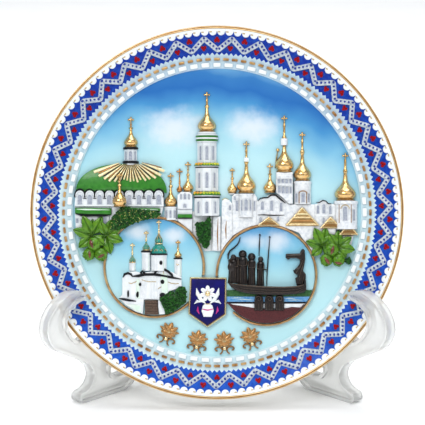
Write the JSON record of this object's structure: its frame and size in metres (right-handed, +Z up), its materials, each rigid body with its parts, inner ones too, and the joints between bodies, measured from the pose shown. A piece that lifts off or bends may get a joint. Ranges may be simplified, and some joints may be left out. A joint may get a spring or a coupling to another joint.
{
  "type": "souvenir plate on a stand",
  "caption": "Round relief souvenir plate of painted cast resin with domed buildings and medallions, on a clear folding display stand.",
  "frame": {"origin": "on the surface that the stand rests on, under the middle of the bounding box", "axes": "+Z up, -Y towards the viewer (the plate faces -Y and leans back), +X to the viewer's right"},
  "size_m": [0.2, 0.0984, 0.199],
  "materials": {
    "cast_resin_white": "glossy clear varnish",
    "wall_white": "hand-painted white, glossy varnish",
    "ribbon_white": "hand-painted, glossy varnish",
    "berry_red": "hand-painted, glossy varnish",
    "gilding": "gold paint, satin",
    "dark_foliage": "hand-painted, satin",
    "roof_green": "hand-painted, glossy varnish",
    "dome_teal": "hand-painted, glossy varnish",
    "step_brown": "hand-painted, satin",
    "plaza_maroon": "hand-painted, satin",
    "river_blue": "hand-painted, glossy varnish",
    "sky_enamel": "airbrushed sky under glossy varnish",
    "dark_bronze": "dark bronze paint, satin",
    "navy_enamel": "hand-painted, glossy varnish",
    "leaf_green": "hand-painted, glossy varnish",
    "burr_green": "hand-painted, glossy varnish",
    "clear_plastic": "clear injection-moulded polystyrene"
  },
  "bodies": {
    "hinge": {"hinge_pin": "clear_plastic"},
    "plate": {"plate_body": "cast_resin_white", "rim_scallops": "cast_resin_white", "rim_zigzag": "ribbon_white", "rim_berries": "berry_red", "gold_beads": "gilding", "white_pegs": "cast_resin_white", "rotunda_wall": "wall_white", "rotunda_dome": "roof_green", "rotunda_rays": "gilding", "rotunda_lantern": "wall_white", "rotunda_finial": "gilding", "rotunda_porch_roof": "roof_green", "chapel_cupola_left": "gilding", "chapel_cupola_right": "gilding", "side_chapel": "wall_white", "side_chapel_cupolas": "gilding", "bell_tower": "wall_white", "bell_tower_cornices": "roof_green", "bell_tower_dome": "gilding", "buttress_wall": "wall_white", "trinity_church": "wall_white", "trinity_cupolas": "gilding", "cathedral_walls": "wall_white", "cathedral_drums": "wall_white", "cathedral_cupolas": "gilding", "east_wall": "wall_white", "east_tower": "wall_white", "east_tower_dome": "gilding", "gold_gables": "gilding", "terrace_wall": "wall_white", "garden_hedge": "dark_foliage", "poplar_tree": "dark_foliage", "garden_shrub": "dark_foliage", "left_medallion_disc": "sky_enamel", "left_medallion_ring": "gilding", "hill_church_body": "wall_white", "hill_church_towers": "wall_white", "hill_church_domes": "dome_teal", "hill_church_steps": "step_brown", "hill_church_bush": "dark_foliage", "right_medallion_disc": "sky_enamel", "right_medallion_ring": "gilding", "river_bank": "river_blue", "plaza_ground": "plaza_maroon", "boat_hull": "dark_bronze", "boat_piers": "dark_bronze", "boat_crew": "dark_bronze", "boat_spears": "dark_bronze", "boat_figurehead": "dark_bronze", "shield_frame": "gilding", "shield_field": "navy_enamel", "shield_emblem": "ribbon_white", "gold_ornaments": "gilding", "chestnut_leaves_left": "leaf_green", "chestnut_burrs_left": "burr_green", "chestnut_leaves_right": "leaf_green", "chestnut_burrs_right": "burr_green"},
    "left_leg": {"left_leg": "clear_plastic"},
    "right_leg": {"right_leg": "clear_plastic"}
  },
  "joints": [
    {"name": "plate_lift", "type": "slide", "parent": "hinge", "child": "plate", "axis": [0, 0, 1], "range_m": [0, 0.17]},
    {"name": "left_fold", "type": "hinge", "parent": "hinge", "child": "left_leg", "pos_m": [0, 0.04498, 0.028], "axis": [0, 0, 1], "range_deg": [0, 43.4]},
    {"name": "right_fold", "type": "hinge", "parent": "hinge", "child": "right_leg", "pos_m": [0, 0.04498, 0.028], "axis": [0, 0, 1], "range_deg": [-43.4, 0]}
  ],
  "couplings": [
    {"joint": "left_fold", "follows": "plate_lift", "rad_per_m": 4.4557},
    {"joint": "right_fold", "follows": "plate_lift", "rad_per_m": -4.4557}
  ]
}
